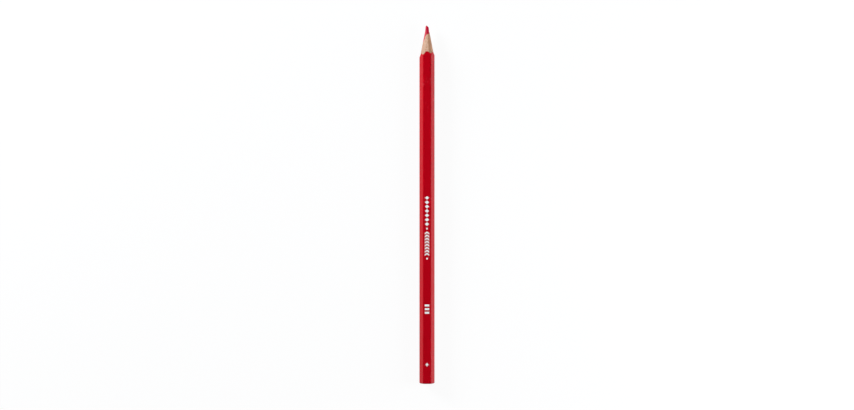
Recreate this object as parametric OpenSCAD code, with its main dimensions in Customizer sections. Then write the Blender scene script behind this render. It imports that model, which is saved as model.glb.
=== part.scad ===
// Hexagonal wood-cased coloured pencil, sharpened and a little worn at the tip.
// Two grooved wooden slats are glued round a wax core, shaped to a hexagon, coated, dipped at the butt,
// stamped with foil on one flat and sharpened to one cone. Each piece is drawn along its own axis, from the
// butt face at Z = 0 up to the point, with the stamped flat towards -Y. The finished pencil lies on the
// opposite flat: the origin is under the middle of its length, +Y runs to the point and the stamped flat
// faces up, +Z.

/* [Barrel] */
// Length from the butt face to the tip of the core
overall_length = 177; // [120:1:190]
// Width of the bare wood across two opposite flats
wood_flats = 6.4; // [5.8:0.1:8]
// Radius that rounds the six long edges of the bare wood
wood_edge_r = 0.95; // [0.4:0.05:1.2]

/* [Core] */
// Diameter of the coloured core
core_d = 3.4; // [2.4:0.1:3.8]
// How far the core lies off the barrel's axis, towards +X
core_off_x = -0.35; // [-0.4:0.05:0.4]
// How far the core lies off the barrel's axis, towards +Y
core_off_y = 0.1; // [-0.4:0.05:0.4]

/* [Glue] */
// Film of glue between the core and its groove
core_glue_t = 0.06; // [0.04:0.01:0.15]
// Film of glue between the two slats
seam_glue_t = 0.12; // [0.06:0.01:0.2]
// Bearing of the slats' joint about the core's axis, in degrees: -90 meets the middle of the stamped flat
joint_bearing = -71; // [-90:1:-60]

/* [Coats] */
// Thickness of the primer that fills the wood's grain
primer_t = 0.05; // [0.04:0.01:0.12]
// Thickness of the coloured lacquer
lacquer_t = 0.1; // [0.05:0.01:0.2]
// Thickness of the clear varnish, and of the dip coat where it takes the varnish's place round the butt
varnish_t = 0.05; // [0.04:0.01:0.12]

/* [Point] */
// Full angle of the sharpened cone, in degrees
point_angle = 22.4; // [18:0.2:30]
// How far the cone's axis lies off the barrel's axis, towards +X
point_off_x = 0.1; // [-0.3:0.05:0.3]
// How far the cone's axis lies off the barrel's axis, towards +Y
point_off_y = -0.2; // [-0.3:0.05:0.3]
// Width of the blunt tip
tip_d = 0.95; // [0.6:0.05:1.6]
// Slope of the facet that writing has worn on the tip, in degrees from level
wear_angle = 50; // [20:1:55]
// How far the worn facet starts from the cone's axis, towards -X
wear_start = 0; // [0:0.05:0.4]

/* [Dipped end] */
// Thickness of the dip coat over the butt face
dip_face_t = 0.3; // [0.15:0.05:0.6]
// How far the dip coat comes up the barrel
dip_height = 1.4; // [1:0.1:4]

/* [Foil stamp] */
// Thickness of the stamped foil
foil_t = 0.03; // [0.02:0.01:0.08]
// Width of the stamped marks across the flat
foil_w = 2.2; // [1.4:0.1:2.4]
// Height of the top of the long stamp
long_stamp_top = 92.7; // [80:0.1:100]
// Number of lozenges in the long stamp
lozenge_count = 7; // [3:1:8]
// Height of a lozenge, along the barrel
lozenge_h = 1.8; // [1.2:0.1:2.4]
// Gap between two lozenges
lozenge_gap = 0.35; // [0.2:0.05:0.8]
// Number of chevrons in the long stamp
chevron_count = 8; // [3:1:8]
// Thickness of a chevron's arms, along the barrel
chevron_t = 0.75; // [0.4:0.05:1]
// Rise of a chevron's point above the ends of its arms
chevron_rise = 0.8; // [0.3:0.1:1.2]
// Gap between two chevrons, along the barrel
chevron_gap = 0.75; // [0.3:0.05:1]
// Diameter of the dots that part the long stamp
dot_d = 0.9; // [0.5:0.1:1.4]
// Gap between a dot and the marks beside it
dot_gap = 0.9; // [0.4:0.1:1.4]
// Height of the middle of the short bars
bars_z = 37; // [25:0.5:45]
// Number of short bars
bar_count = 3; // [1:1:5]
// Thickness of a short bar, along the barrel
bar_t = 1; // [0.4:0.1:1.4]
// Gap between two short bars
bar_gap = 0.8; // [0.4:0.1:1.4]
// Height of the middle of the star
star_z = 9.6; // [6:0.1:16]
// Width of the star's waist between its points
star_waist = 0.9; // [0.5:0.1:1.2]

/* [Hidden] */
$fn = 96;

// Straight steps that make up each round edge of the barrel.
edge_steps = 8;
// The flats of the bare wood, then of each coat in turn.
primed_flats = wood_flats + 2 * primer_t;
lacquered_flats = primed_flats + 2 * lacquer_t;
finished_flats = lacquered_flats + 2 * varnish_t;
// The groove holds the core and its film of glue.
groove_d = core_d + 2 * core_glue_t;
// Blocks that cut the barrel in two reach past it on every side.
reach = 2 * finished_flats;
// The dip coat is as round at its rim as it is thick there.
dip_rim_r = dip_face_t + varnish_t;
dip_rim_steps = 6;

lozenge_pitch = lozenge_h + lozenge_gap;
lozenges_run = lozenge_count * lozenge_pitch - lozenge_gap;
chevron_pitch = chevron_t + chevron_gap;
chevrons_run = chevron_count * chevron_pitch - chevron_gap + chevron_rise;
bar_pitch = bar_t + bar_gap;
upper_dot_z = long_stamp_top - lozenges_run - dot_gap - dot_d / 2;
chevrons_top = upper_dot_z - dot_d / 2 - dot_gap;
lower_dot_z = chevrons_top - chevrons_run - dot_gap - dot_d / 2;

// Outline of a hexagon with round corners, grown outwards from the bare wood by a coat's thickness.
// Two of its flats face -Y and +Y.
function outline_points(flats) =
    let (
        edge_r = wood_edge_r + (flats - wood_flats) / 2,
        corner_r = (flats / 2 - edge_r) / cos(30)
    )
    [
        for (corner = [0 : 5], step = [0 : edge_steps])
            let (bearing = 60 * corner, turn = bearing - 30 + 60 * step / edge_steps)
            corner_r * [cos(bearing), sin(bearing)] + edge_r * [cos(turn), sin(turn)]
    ];

// A closed skin through a list of [width across flats, height], from an upward cap to a downward one.
module skin_through(outlines) {
    count = len(outline_points(wood_flats));
    last = count * (len(outlines) - 1);
    polyhedron(
        points = [
            for (outline = outlines, point = outline_points(outline[0]))
                [point[0], point[1], outline[1]]
        ],
        faces = concat(
            [[for (index = [count - 1 : -1 : 0]) index]],
            [
                for (ring = [0 : len(outlines) - 2], index = [0 : count - 1])
                    let (here = ring * count, next = (index + 1) % count)
                    [here + index, here + next, here + count + next, here + count + index]
            ],
            [[for (index = [0 : count - 1]) last + index]]
        )
    );
}

// A length of hexagonal barrel from one height up past the tip.
module barrel(flats, from = dip_face_t) {
    translate([0, 0, from])
        linear_extrude(overall_length)
            polygon(outline_points(flats));
}

// Everything that the sharpener leaves: a cone up to the blunt tip, wider than the barrel lower down.
module sharpened() {
    intersection() {
        children();
        translate([point_off_x, point_off_y, 0])
            cylinder(
                h = overall_length,
                r1 = tip_d / 2 + overall_length * tan(point_angle / 2),
                r2 = tip_d / 2
            );
    }
}

module core_rod(diameter) {
    translate([core_off_x, core_off_y, dip_face_t])
        cylinder(h = overall_length, d = diameter);
}

// A block on one side of the glued joint, in a frame whose X runs along the joint from the core's axis.
module beside_joint(from, size) {
    translate([core_off_x, core_off_y, 0])
        rotate(joint_bearing)
            translate([from[0], from[1], 0])
                cube([size[0], size[1], overall_length]);
}

module slat(side) {
    sharpened()
        difference() {
            intersection() {
                barrel(wood_flats);
                beside_joint(
                    [-reach, side > 0 ? seam_glue_t / 2 : -reach - seam_glue_t / 2],
                    [2 * reach, reach]
                );
            }
            core_rod(groove_d);
        }
}

module seam_glue(side) {
    sharpened()
        difference() {
            intersection() {
                barrel(wood_flats);
                beside_joint([side > 0 ? 0 : -reach, -seam_glue_t / 2], [reach, seam_glue_t]);
            }
            core_rod(groove_d);
        }
}

module coat(inner_flats, outer_flats, from = dip_face_t) {
    sharpened()
        difference() {
            barrel(outer_flats, from);
            barrel(inner_flats);
        }
}

// The facet slopes down from near the cone's axis towards +X.
module worn_away() {
    translate([point_off_x - wear_start, point_off_y, overall_length])
        rotate([0, wear_angle, 0])
            translate([-reach / 2, -reach / 2, 0])
                cube(reach);
}

// From the drawing position to the resting one.
module lying() {
    translate([0, -overall_length / 2, finished_flats / 2])
        rotate([-90, 0, 0])
            children();
}

module on_stamped_flat() {
    lying()
        translate([0, -finished_flats / 2, 0])
            rotate([90, 0, 0])
                linear_extrude(foil_t)
                    children();
}

module stamped_slat() {
    color("burlywood")
        lying()
            slat(-1);
}

module plain_slat() {
    color("tan")
        lying()
            slat(1);
}

module core() {
    color("crimson")
        lying()
            difference() {
                sharpened()
                    core_rod(core_d);
                worn_away();
            }
}

module core_glue() {
    color("wheat")
        lying()
            sharpened()
                difference() {
                    core_rod(groove_d);
                    core_rod(core_d);
                }
}

module seam_glue_upper() {
    color("wheat")
        lying()
            seam_glue(1);
}

module seam_glue_lower() {
    color("wheat")
        lying()
            seam_glue(-1);
}

module primer_coat() {
    color("mistyrose")
        lying()
            coat(wood_flats, primed_flats);
}

module colour_lacquer() {
    color("firebrick")
        lying()
            coat(primed_flats, lacquered_flats);
}

// The varnish starts where the dip coat ends.
module clear_varnish() {
    color("red", 0.3)
        lying()
            coat(lacquered_flats, finished_flats, dip_height);
}

// A shallow cup of dip coat, flush with the varnish, its rim rolled in to the butt face.
module end_dip() {
    inside = [[lacquered_flats, dip_face_t], [lacquered_flats, dip_height]];
    rim = [
        for (step = [0 : dip_rim_steps])
            let (turn = 90 * step / dip_rim_steps)
            [finished_flats - 2 * dip_rim_r * (1 - cos(turn)), dip_rim_r * (1 - sin(turn))]
    ];
    color("firebrick")
        lying()
            skin_through(concat(inside, [[finished_flats, dip_height]], rim));
}

module foil_lozenges() {
    color("white")
        on_stamped_flat()
            for (index = [0 : lozenge_count - 1])
                translate([0, long_stamp_top - lozenge_pitch * index - lozenge_h / 2])
                    polygon([
                        [0, lozenge_h / 2],
                        [-foil_w / 2, 0],
                        [0, -lozenge_h / 2],
                        [foil_w / 2, 0]
                    ]);
}

module foil_chevrons() {
    color("white")
        on_stamped_flat()
            for (index = [0 : chevron_count - 1])
                translate([0, chevrons_top - chevron_pitch * index])
                    polygon([
                        [0, 0],
                        [-foil_w / 2, -chevron_rise],
                        [-foil_w / 2, -chevron_rise - chevron_t],
                        [0, -chevron_t],
                        [foil_w / 2, -chevron_rise - chevron_t],
                        [foil_w / 2, -chevron_rise]
                    ]);
}

module foil_dots() {
    color("white")
        on_stamped_flat()
            for (height = [upper_dot_z, lower_dot_z])
                translate([0, height])
                    circle(d = dot_d);
}

module foil_bars() {
    color("white")
        on_stamped_flat()
            for (index = [0 : bar_count - 1])
                translate([0, bars_z + bar_pitch * (index - (bar_count - 1) / 2)])
                    square([foil_w, bar_t], center = true);
}

module foil_star() {
    points = 4;
    color("white")
        on_stamped_flat()
            translate([0, star_z])
                polygon([
                    for (index = [0 : 2 * points - 1])
                        let (radius = index % 2 == 0 ? foil_w / 2 : star_waist / 2)
                        radius * [sin(180 / points * index), cos(180 / points * index)]
                ]);
}

stamped_slat();
plain_slat();
core();
core_glue();
seam_glue_upper();
seam_glue_lower();
primer_coat();
colour_lacquer();
clear_varnish();
end_dip();
foil_lozenges();
foil_chevrons();
foil_dots();
foil_bars();
foil_star();
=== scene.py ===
# %% [markdown]
# # A red coloured pencil, sharpened and a little used
# A wood-cased pencil is a stack of layers. Two grooved slats are glued round a wax core and milled to a
# hexagon, then primed, lacquered red, varnished, dipped at the butt and stamped with foil. The sharpener
# cuts through all of them at once, so one cone shapes nearly the whole pointed end. The CAD model holds
# each layer as a solid in its place. This lesson gives each layer the surface that the eye and the
# fingertip know.

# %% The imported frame
import math

import bmesh
import bpy
import numpy as np
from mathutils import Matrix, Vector, noise


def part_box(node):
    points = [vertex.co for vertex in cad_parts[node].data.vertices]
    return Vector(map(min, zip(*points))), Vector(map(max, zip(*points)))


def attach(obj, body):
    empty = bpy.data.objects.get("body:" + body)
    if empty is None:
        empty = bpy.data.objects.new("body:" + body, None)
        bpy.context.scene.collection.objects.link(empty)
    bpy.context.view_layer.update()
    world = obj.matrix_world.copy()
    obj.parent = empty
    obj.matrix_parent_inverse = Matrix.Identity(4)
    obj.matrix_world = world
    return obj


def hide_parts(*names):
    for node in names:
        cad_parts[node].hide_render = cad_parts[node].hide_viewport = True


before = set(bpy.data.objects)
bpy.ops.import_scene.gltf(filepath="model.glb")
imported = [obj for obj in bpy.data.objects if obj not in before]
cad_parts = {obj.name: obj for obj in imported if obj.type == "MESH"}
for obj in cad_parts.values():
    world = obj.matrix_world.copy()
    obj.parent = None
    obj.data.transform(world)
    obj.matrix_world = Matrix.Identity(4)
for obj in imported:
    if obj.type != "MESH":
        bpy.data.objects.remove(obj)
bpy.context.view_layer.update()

MM = 0.001

print("CAD nodes:", ", ".join(sorted(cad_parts)))

# %% [markdown]
# ## Sizes that the layers share
# A pencil is easiest to think about along its own axis, from the butt face up to the tip, in millimetres.
# The finished pencil lies on a flat, so one function turns every point into the lying frame, in metres. The
# cut is made of functions too: they give the blade's height over any point of the cross-section.

# %% Sizes in millimetres
LENGTH = 177.0
BUTT_FACE = 0.3

# Across flats, from the outside in.
FINISHED_FLATS = 6.8
LACQUERED_FLATS = 6.7
PRIMED_FLATS = 6.5
WOOD_FLATS = 6.4
WOOD_EDGE_R = 0.95

# The core lies a little off the axis, and its outline has shallow lobes.
CORE_AXIS = np.array([-0.35, 0.1])
CORE_R = 1.7
GROOVE_R = 1.76
CORE_LOBE = 0.1
CORE_LOBES = 4
CORE_LOBE_BEARING = math.radians(-49)

# The sharpener's cone, then the foot of the cut, which is blunter and further off the axis.
CONE_AXIS = np.array([0.1, -0.2])
CONE_SLOPE = math.tan(math.radians(11.2))
TIP_R = 0.475
FOOT_AXIS = np.array([0.17, -0.5])
FOOT_SLOPE = 0.36
FOOT_R = WOOD_FLATS / 2 + FOOT_AXIS[1]
FOOT_TOP = 164.07

for node in ("clear_varnish", "core", "stamped_slat", "end_dip"):
    low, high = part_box(node)
    print(node, "from and to, in mm:", [round(value / MM, 2) for value in (*low, *high)])

# %% The sharpener's cut and the lying frame


def edge_radius(flats):
    """Radius of the six long edges: each coat rounds them a little more."""
    return WOOD_EDGE_R + (flats - WOOD_FLATS) / 2


def cone_height(points):
    """Height of the sharpened cone over points (x, y) of the cross-section."""
    return LENGTH - (np.linalg.norm(points - CONE_AXIS, axis=-1) - TIP_R) / CONE_SLOPE


def foot_height(points):
    """Height at which the blade leaves the barrel."""
    return FOOT_TOP - (np.linalg.norm(points - FOOT_AXIS, axis=-1) - FOOT_R) / FOOT_SLOPE


def core_radius(radius, towards):
    """Radius of the core or its groove in these directions: the extruded core isn't quite round."""
    bearings = np.arctan2(towards[..., 1], towards[..., 0])
    return radius + CORE_LOBE * np.cos(CORE_LOBES * (bearings - CORE_LOBE_BEARING))


def lie_down(points):
    """From the pencil's own axis, in mm, to the lying frame, in metres: point towards +Y, print up."""
    points = np.asarray(points, float)
    x, y, z = points[..., 0], points[..., 1], points[..., 2]
    return MM * np.stack([x, z - LENGTH / 2, FINISHED_FLATS / 2 - y], axis=-1)


print("tip in the lying frame, in m:", lie_down((*CONE_AXIS, LENGTH)).round(4))

# %% [markdown]
# ## Camera
# The pencil was photographed straight from above, with the point at the top of the picture. A camera could
# be placed by eye, but the width of the picture and the size of one pixel on the pencil give the lens for
# any distance. A long lens at 0.9 m has the same slight perspective.

# %% Camera
IMAGE_WIDTH = 854
PIXEL = 0.4945 * MM
SENSOR_WIDTH = 36.0
AXIS_HEIGHT = MM * FINISHED_FLATS / 2
CAMERA_HEIGHT = 0.9
# The picture's middle lies this far from the middle of the pencil.
CAMERA_Y = -0.0002

scene = bpy.context.scene
scene.view_settings.view_transform = "Standard"
camera_data = bpy.data.cameras.new("copy_stand_camera")
camera_data.sensor_width = SENSOR_WIDTH
camera_data.lens = SENSOR_WIDTH * CAMERA_HEIGHT / (IMAGE_WIDTH * PIXEL)
camera = bpy.data.objects.new("copy_stand_camera", camera_data)
camera.location = (0, CAMERA_Y, CAMERA_HEIGHT + AXIS_HEIGHT)
scene.collection.objects.link(camera)
scene.camera = camera
print("lens in mm:", round(camera_data.lens, 1))

# %% [markdown]
# ## Colours and nodes
# Materials, the world and the Geometry Nodes trees are all nodes and links. They could be drawn in the
# editor, but a script repeats them exactly, and one small function that adds a node is enough for all of
# them. Colours are written as sRGB hex, as a paint program shows them, and another function turns them into
# linear light.

# %% Colours and nodes
# Kinds of node that come up often.
MATH = "ShaderNodeMath"
VECTOR_MATH = "ShaderNodeVectorMath"
MAP_RANGE = "ShaderNodeMapRange"
MAPPING = "ShaderNodeMapping"
MIX = "ShaderNodeMix"
NOISE = "ShaderNodeTexNoise"
BUMP = "ShaderNodeBump"
PRINCIPLED = "ShaderNodeBsdfPrincipled"
OUTPUT = "ShaderNodeOutputMaterial"
SEPARATE = "ShaderNodeSeparateXYZ"
SAMPLE_INDEX = "GeometryNodeSampleIndex"

# Socket numbers of a Mix node that mixes colours.
MIX_SHARE, MIX_A, MIX_B, MIX_RESULT = 0, 6, 7, 2


def linear(colour):
    """An sRGB hex colour as linear RGBA."""
    channels = [int(colour[start:start + 2], 16) / 255 for start in (1, 3, 5)]
    return [c / 12.92 if c <= 0.04045 else ((c + 0.055) / 1.055) ** 2.4 for c in channels] + [1.0]


def add(tree, kind, inputs=None, **settings):
    """Adds a node with these settings.

    Inputs, by socket name or number, are values, outputs to link, or nodes, whose first output is linked.
    """
    node = tree.nodes.new(kind)
    for name, value in settings.items():
        setattr(node, name, value)
    for key, value in (inputs or {}).items():
        if isinstance(value, bpy.types.Node):
            value = value.outputs[0]
        if isinstance(value, bpy.types.NodeSocket):
            tree.links.new(value, node.inputs[key])
        else:
            node.inputs[key].default_value = value
    return node


def start_material(name):
    """A new material, its empty tree, and Object coordinates in millimetres."""
    material = bpy.data.materials.new(name)
    material.use_nodes = True
    tree = material.node_tree
    tree.nodes.clear()
    place = add(tree, "ShaderNodeTexCoord").outputs["Object"]
    return material, tree, add(tree, MAPPING, {"Vector": place, "Scale": (1 / MM,) * 3})


print("middle grey #808080 in linear light:", round(linear("#808080")[0], 3))

# %% [markdown]
# ## Floor and light
# Two soft lamps stand low at the sides, as on a copy stand, with a weak third one beyond the point and
# nothing bright overhead. The flat on top then mirrors a dark ceiling and keeps its full red, while the
# flats at the sides mirror the white paper and turn pinker, more so on the right. That tells the eye that
# the paint is glossy. A picture of a studio could light the scene too, but three lamps are easier to steer.

# %% Floor
FLOOR_SIZE = 6.0
WHITE_SHARE = 0.93
MIRRORED_SHARE = 0.7
MIRRORED_LEFT = 0.385
MIRRORED_RIGHT = 0.95
MIRRORED_BLEND = 3.0

# Matt paper has no gloss of its own. The camera sees it almost plain white, with a faint shadow. For the
# pencil's gloss the paper glows as a painted reflection, greyer on the left than on the right, blended over
# a few millimetres.
floor_paper, tree, place_mm = start_material("matt_white_paper")
path = add(tree, "ShaderNodeLightPath").outputs
mirrored = add(tree, MATH, {0: path["Is Glossy Ray"], 1: path["Is Transmission Ray"]}, operation="MAXIMUM")
mirrored = add(tree, MATH, {0: mirrored, 1: MIRRORED_SHARE}, operation="MULTIPLY")
share = add(tree, MATH, {0: path["Is Camera Ray"], 1: WHITE_SHARE, 2: mirrored}, operation="MULTIPLY_ADD")
sideways = add(tree, SEPARATE, {0: place_mm}).outputs["X"]
level = add(tree, MAP_RANGE,
            {"Value": sideways, "From Min": -MIRRORED_BLEND, "From Max": MIRRORED_BLEND,
             "To Min": MIRRORED_LEFT, "To Max": MIRRORED_RIGHT})
level = add(tree, MATH, {0: level, 1: path["Is Camera Ray"]}, operation="MAXIMUM")
glow = add(tree, "ShaderNodeEmission", {"Color": linear("#FFFFFF"), "Strength": level})
paper = add(tree, "ShaderNodeBsdfDiffuse", {"Color": linear("#EEF2F8")})
mixed = add(tree, "ShaderNodeMixShader", {0: share, 1: paper, 2: glow})
add(tree, OUTPUT, {"Surface": mixed})

half = FLOOR_SIZE / 2
corners = [(-half, -half, 0), (half, -half, 0), (half, half, 0), (-half, half, 0)]
floor_mesh = bpy.data.meshes.new("floor")
floor_mesh.from_pydata(corners, [], [(0, 1, 2, 3)])
floor_mesh.materials.append(floor_paper)
floor = bpy.data.objects.new("floor", floor_mesh)
scene.collection.objects.link(floor)
print("floor in m:", FLOOR_SIZE, "by", FLOOR_SIZE)

# %% Lamps
LAMPS = {
    "left_lamp": {"place": (-0.6, 0.4, 0.3), "size": 0.25, "watts": 8.1},
    "right_lamp": {"place": (0.35, -0.05, 0.15), "size": 0.2, "watts": 1.43},
    "far_lamp": {"place": (0.0, 0.35, 0.5), "size": 0.3, "watts": 0.38},
}
for name, lamp in LAMPS.items():
    data = bpy.data.lights.new(name, "AREA")
    data.shape = "SQUARE"
    data.size = lamp["size"]
    data.energy = lamp["watts"]
    stand = bpy.data.objects.new(name, data)
    stand.location = lamp["place"]
    stand.rotation_euler = (-Vector(lamp["place"])).to_track_quat("-Z", "Y").to_euler()
    # The gloss mirrors paper and walls, not the lamps.
    stand.visible_glossy = False
    scene.collection.objects.link(stand)
    print(name, lamp["watts"], "W at", lamp["place"])

# %% Surroundings
# Walls fade from pale at the horizon to a dark ceiling. The camera itself sees white.
WALL_LEVEL = 0.6
CEILING_LEVEL = 0.03
CEILING_START = 0.7

world = bpy.data.worlds.new("studio")
scene.world = world
world.use_nodes = True
tree = world.node_tree
tree.nodes.clear()
direction = add(tree, "ShaderNodeTexCoord").outputs["Generated"]
upwards = add(tree, SEPARATE, {0: direction}).outputs["Z"]
level = add(tree, MAP_RANGE,
            {"Value": upwards, "From Max": CEILING_START, "To Min": WALL_LEVEL, "To Max": CEILING_LEVEL},
            interpolation_type="SMOOTHSTEP")
walls = add(tree, "ShaderNodeBackground", {"Color": linear("#FFFFFF"), "Strength": level})
white = add(tree, "ShaderNodeBackground", {"Color": linear("#FFFFFF"), "Strength": 1.0})
seen = add(tree, "ShaderNodeLightPath").outputs["Is Camera Ray"]
mixed = add(tree, "ShaderNodeMixShader", {0: seen, 1: walls, 2: white})
add(tree, "ShaderNodeOutputWorld", {"Surface": mixed})
print("surroundings fade from", WALL_LEVEL, "to", CEILING_LEVEL)

# %% [markdown]
# ## Red gloss lacquer
# The barrel is drawn many times through a bath of nitrocellulose lacquer and a rubber gasket, then
# varnished. The colour is even and deep; what gives it away as paint is the gloss, a very slight waviness
# along the barrel, and pale scuffs where it was knocked. It could be two skins, one of them clear, but a
# red base under the shader's own clear coat looks the same on one mesh.

# %% Red gloss lacquer material


def lacquer(name, deep, bright, bruised):
    """Nitro lacquer under varnish. To the eye: deep even red, clear gloss, faint waves and pale scuffs."""
    material, tree, place_mm = start_material(name)
    # Density of the colour drifts over patches of about 6 mm.
    drift = add(tree, NOISE, {"Vector": place_mm, "Scale": 1 / 6, "Detail": 3.0})
    colour = add(tree, MIX, {MIX_SHARE: drift, MIX_A: linear(deep), MIX_B: linear(bright)},
                 data_type="RGBA").outputs[MIX_RESULT]
    # Where something has hit it, the paint has fine pale scuffs about 0.2 mm wide.
    bruise = add(tree, "ShaderNodeAttribute", attribute_name="bruise").outputs["Fac"]
    scuffs = add(tree, NOISE, {"Vector": place_mm, "Scale": 1 / 0.2, "Detail": 4.0, "Roughness": 0.6})
    paleness = add(tree, MAP_RANGE,
                   {"Value": scuffs, "From Min": 0.45, "From Max": 0.6, "To Min": 0.2, "To Max": 2.2})
    paler = add(tree, MATH, {0: bruise, 1: paleness}, operation="MULTIPLY", use_clamp=True)
    colour = add(tree, MIX, {MIX_SHARE: paler, MIX_A: colour, MIX_B: linear(bruised)},
                 data_type="RGBA").outputs[MIX_RESULT]
    # The gasket leaves lines 0.3 mm wide and about 8 mm long.
    drawn = add(tree, MAPPING, {"Vector": place_mm, "Scale": (3.3, 0.125, 3.3)})
    lines = add(tree, NOISE, {"Vector": drawn, "Scale": 1.0, "Detail": 2.0})
    bump = add(tree, BUMP, {"Height": lines, "Strength": 0.1, "Distance": 0.02 * MM})
    # Under the varnish the lacquer is smoother or duller in patches of about 3 mm.
    smudges = add(tree, NOISE, {"Vector": place_mm, "Scale": 1 / 3, "Detail": 4.0})
    rough = add(tree, MAP_RANGE, {"Value": smudges, "To Min": 0.28, "To Max": 0.42})
    shader = add(tree, PRINCIPLED,
                 {"Base Color": colour, "Roughness": rough, "Normal": bump, "Coat Normal": bump, "IOR": 1.5,
                  "Specular IOR Level": 0.0, "Coat Weight": 0.95, "Coat Roughness": 0.12, "Coat IOR": 1.45})
    add(tree, OUTPUT, {"Surface": shader})
    return material


red_lacquer = lacquer("red_nitro_lacquer_varnished", deep="#A90010", bright="#AF0016", bruised="#E2606C")
print(red_lacquer.name, len(red_lacquer.node_tree.nodes), "nodes")

# %% [markdown]
# ## The coats, cut by the sharpener
# Each coat is a sleeve between two hexagons with round edges, and its upper end is where the cut runs out
# of it: high in the middle of a flat, low at an edge. That scalloped line is never drawn by hand. It could
# be a boolean, but a rule is cleaner and gives even quads. The tree below rounds a hexagon with Fillet
# Curve, then lays a grid over it: one direction runs round the outline, the other along a section through
# the coat. A section point holds how deep it lies in the coat, what share of the cut's height it takes, and
# a height of its own.

# %% Inputs of the tree for coats
COAT_INPUTS = {
    "Across flats": "Float",
    "Edge radius": "Float",
    "Columns": "Int",
    "Section": "Object",
    "Cone axis": "Vector",
    "Cone apex": "Float",
    "Rise per width": "Float",
    "Half length": "Float",
    "Axis height": "Float",
    "Ragged edge": "Float",
    "Ragged grain": "Float",
    "Seed": "Float",
    "Dents": "Object",
    "Material": "Material",
}


def start_tree(name, inputs, output):
    """A Geometry Nodes tree with named inputs; gives its input sockets and their identifiers too."""
    tree = bpy.data.node_groups.new(name, "GeometryNodeTree")
    identifiers = {}
    for label, kind in inputs.items():
        socket = tree.interface.new_socket(name=label, in_out="INPUT", socket_type="NodeSocket" + kind)
        identifiers[label] = socket.identifier
    tree.interface.new_socket(name=output, in_out="OUTPUT", socket_type="NodeSocketGeometry")
    return tree, add(tree, "NodeGroupInput").outputs, identifiers


coat_tree, given, coat_sockets = start_tree("coat_cut_by_sharpener", COAT_INPUTS, "Coat")
tree = coat_tree
print(tree.name, "has", len(COAT_INPUTS), "inputs")

# %% The coat's outline and the grid over it
FILLET_STEPS = 12

# A hexagon with its corners rounded, and the outward direction at each of its points.
corner_r = add(tree, MATH, {0: given["Across flats"], 1: 1 / math.sqrt(3)}, operation="MULTIPLY")
hexagon = add(tree, "GeometryNodeCurvePrimitiveCircle", {"Resolution": 6, "Radius": corner_r})
rounded = add(tree, "GeometryNodeFilletCurve",
              {"Curve": hexagon, "Count": FILLET_STEPS, "Radius": given["Edge radius"]}, mode="POLY")
outline = add(tree, "GeometryNodeResampleCurve", {"Curve": rounded, "Count": given["Columns"]})
tangent = add(tree, "GeometryNodeInputTangent")
outward = add(tree, VECTOR_MATH, {0: tangent, 1: (0, 0, 1)}, operation="CROSS_PRODUCT")

# The grid's rows follow the section and its columns the outline, and both come round to their start.
section = add(tree, "GeometryNodeObjectInfo", {"Object": given["Section"]}).outputs["Geometry"]
rows = add(tree, "GeometryNodeAttributeDomainSize", {"Geometry": section}).outputs["Point Count"]
grid_rows = add(tree, MATH, {0: rows, 1: 1.0}, operation="ADD")
grid_columns = add(tree, MATH, {0: given["Columns"], 1: 1.0}, operation="ADD")
grid = add(tree, "GeometryNodeMeshGrid", {"Vertices X": grid_rows, "Vertices Y": grid_columns})
index = add(tree, "GeometryNodeInputIndex")
row = add(tree, MATH, {0: index, 1: grid_columns}, operation="DIVIDE")
row = add(tree, MATH, {0: row}, operation="FLOOR")
row = add(tree, MATH, {0: row, 1: rows}, operation="MODULO")
column = add(tree, MATH, {0: index, 1: grid_columns}, operation="MODULO")
column = add(tree, MATH, {0: column, 1: given["Columns"]}, operation="MODULO")
print("outline and grid:", len(tree.nodes), "nodes")

# %% The height of the cut over each point of the grid
NEAR_CUT_POWER = 60.0

position = add(tree, "GeometryNodeInputPosition")
on_outline = add(tree, SAMPLE_INDEX,
                 {"Geometry": outline, "Value": position, "Index": column}, data_type="FLOAT_VECTOR")
off_outline = add(tree, SAMPLE_INDEX,
                  {"Geometry": outline, "Value": outward, "Index": column}, data_type="FLOAT_VECTOR")
on_section = add(tree, SAMPLE_INDEX,
                 {"Geometry": section, "Value": position, "Index": row}, data_type="FLOAT_VECTOR")
depth, share, height = add(tree, SEPARATE, {0: on_section}).outputs
inwards = add(tree, VECTOR_MATH, {0: off_outline, "Scale": depth}, operation="SCALE")
flat_place = add(tree, VECTOR_MATH, {0: on_outline, 1: inwards}, operation="SUBTRACT")
away = add(tree, VECTOR_MATH, {0: flat_place, 1: given["Cone axis"]}, operation="DISTANCE").outputs["Value"]
fall = add(tree, MATH, {0: away, 1: given["Rise per width"]}, operation="MULTIPLY")
cut = add(tree, MATH, {0: given["Cone apex"], 1: fall}, operation="SUBTRACT")

# Chips make the edge of the paint ragged, and die away below it.
chips = add(tree, NOISE,
            {"Vector": flat_place, "W": given["Seed"], "Scale": given["Ragged grain"], "Detail": 3.0},
            noise_dimensions="4D")
chips = add(tree, MATH, {0: chips, 1: 0.5}, operation="SUBTRACT")
chips = add(tree, MATH, {0: chips, 1: given["Ragged edge"]}, operation="MULTIPLY")
near_cut = add(tree, MATH, {0: share, 1: NEAR_CUT_POWER}, operation="POWER")
chips = add(tree, MATH, {0: chips, 1: near_cut}, operation="MULTIPLY")
cut = add(tree, MATH, {0: cut, 1: chips}, operation="ADD")
along = add(tree, MATH, {0: share, 1: cut, 2: height}, operation="MULTIPLY_ADD")
print("with the cut:", len(tree.nodes), "nodes")

# %% The coat in the lying frame
# Points closer than this, in metres, are one point.
WELD = 1e-7

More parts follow.
